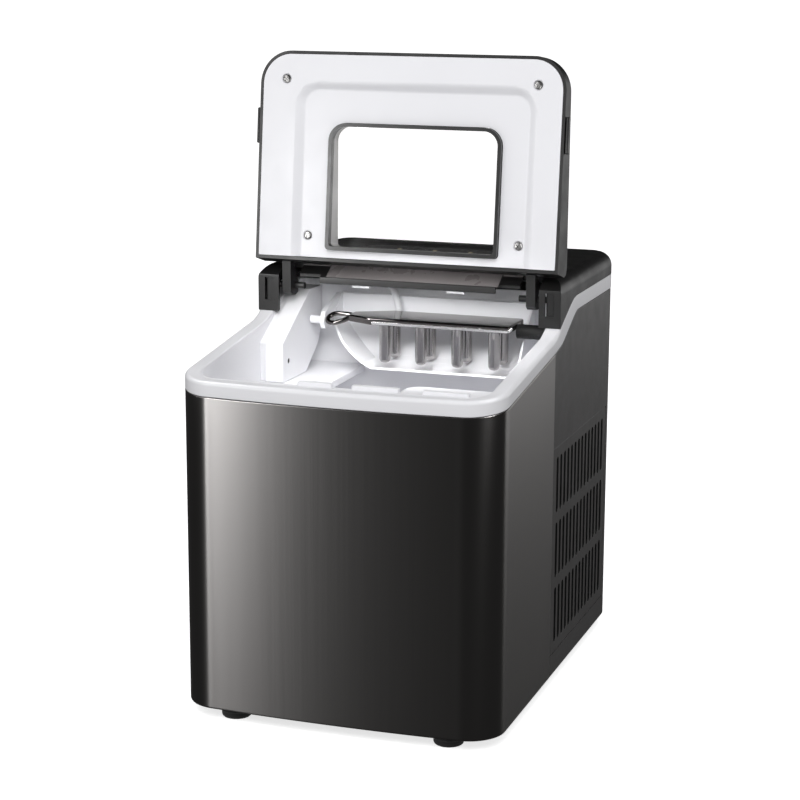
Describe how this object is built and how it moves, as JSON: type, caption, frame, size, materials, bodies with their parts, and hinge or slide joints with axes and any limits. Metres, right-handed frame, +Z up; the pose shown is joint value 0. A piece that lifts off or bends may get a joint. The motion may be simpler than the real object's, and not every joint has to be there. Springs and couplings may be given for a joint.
{
  "type": "countertop ice maker",
  "caption": "Countertop ice maker with a hinged windowed lid, a basin, chilled fingers over a turning water tray, vented casing and push-button top.",
  "frame": {"origin": "centre of the bounding box in plan, lid open as stored, with the soles of the feet on z = 0", "axes": "+Z up, -Y out of the front, +X to the right of someone who faces the front"},
  "size_m": [0.2452, 0.3356, 0.4764],
  "materials": {
    "brushed_dark_steel": "brushed, dark",
    "dark_grey_plastic": "satin",
    "black_plastic": "satin",
    "glossy_panel": "gloss",
    "white_plastic": "satin",
    "light_grey_plastic": "satin",
    "black_rubber": "matte",
    "polished_nickel": "polished",
    "aluminium": "satin",
    "clear_plastic": "clear",
    "indicator_lens": "translucent",
    "circuit_board": "lacquered"
  },
  "bodies": {
    "cabinet": {"front_shell": "brushed_dark_steel", "rear_shell": "dark_grey_plastic", "base_pan": "black_plastic", "foot_front_left": "black_rubber", "foot_front_right": "black_rubber", "foot_rear_left": "black_rubber", "foot_rear_right": "black_rubber", "vent_grille_right": "dark_grey_plastic", "vent_grille_left": "dark_grey_plastic", "vent_grille_rear": "dark_grey_plastic", "basin": "white_plastic", "top_cover": "black_plastic", "cover_strip": "glossy_panel", "snap_tab_left": "white_plastic", "snap_tab_right": "white_plastic", "control_panel": "glossy_panel", "small_ice_light": "indicator_lens", "large_ice_light": "indicator_lens", "ice_full_light": "indicator_lens", "add_water_light": "indicator_lens", "control_board": "circuit_board", "hinge_pin_left": "aluminium", "hinge_pin_right": "aluminium", "evaporator": "polished_nickel", "suction_pipe": "white_plastic", "evaporator_loop": "polished_nickel", "evaporator_holder": "black_plastic", "sensor_housing": "white_plastic", "infrared_lens": "black_plastic", "tray_motor": "aluminium", "compressor": "black_plastic", "condenser": "aluminium", "fan_shroud": "black_plastic", "fan_motor": "light_grey_plastic", "water_pump": "black_plastic", "water_hose": "white_plastic", "float_stem": "white_plastic", "cord_gland": "black_plastic", "drain_spout": "white_plastic"},
    "lid": {"lid_shell": "black_plastic", "lid_liner": "white_plastic", "window_gasket": "black_rubber", "window_collar": "light_grey_plastic", "window_pane": "clear_plastic", "lid_screw_far_left": "aluminium", "lid_screw_far_right": "aluminium", "lid_screw_near_left": "aluminium", "lid_screw_near_right": "aluminium", "hinge_arm_left": "black_plastic", "hinge_arm_right": "black_plastic", "lid_grip_left": "black_plastic", "lid_grip_right": "black_plastic"},
    "tray": {"water_tray": "white_plastic", "tray_shaft": "aluminium"},
    "fan": {"fan": "black_plastic"},
    "power_key": {"power_button": "aluminium"},
    "select_key": {"select_button": "aluminium"},
    "float": {"water_float": "light_grey_plastic"},
    "drain_plug": {"drain_cap": "black_plastic"}
  },
  "joints": [
    {"name": "lid_hinge", "type": "hinge", "parent": "cabinet", "child": "lid", "pos_m": [0, 0.003, 0.297], "axis": [1, 0, 0], "range_deg": [0, 103]},
    {"name": "tray_turn", "type": "hinge", "parent": "cabinet", "child": "tray", "pos_m": [0, 0.0133, 0.269], "axis": [1, 0, 0], "range_deg": [-75, 0]},
    {"name": "fan_spin", "type": "hinge", "parent": "cabinet", "child": "fan", "pos_m": [0.0675, 0.11, 0.1], "axis": [1, 0, 0], "continuous": true},
    {"name": "power_press", "type": "slide", "parent": "cabinet", "child": "power_key", "axis": [0, 0, -1], "range_m": [0, 0.0009], "stiffness_N_per_m": 600},
    {"name": "select_press", "type": "slide", "parent": "cabinet", "child": "select_key", "axis": [0, 0, -1], "range_m": [0, 0.0009], "stiffness_N_per_m": 600},
    {"name": "float_rise", "type": "slide", "parent": "cabinet", "child": "float", "axis": [0, 0, 1], "range_m": [0, 0.03]},
    {"name": "drain_pull", "type": "slide", "parent": "cabinet", "child": "drain_plug", "axis": [0, 1, 0], "range_m": [0, 0.014]}
  ]
}
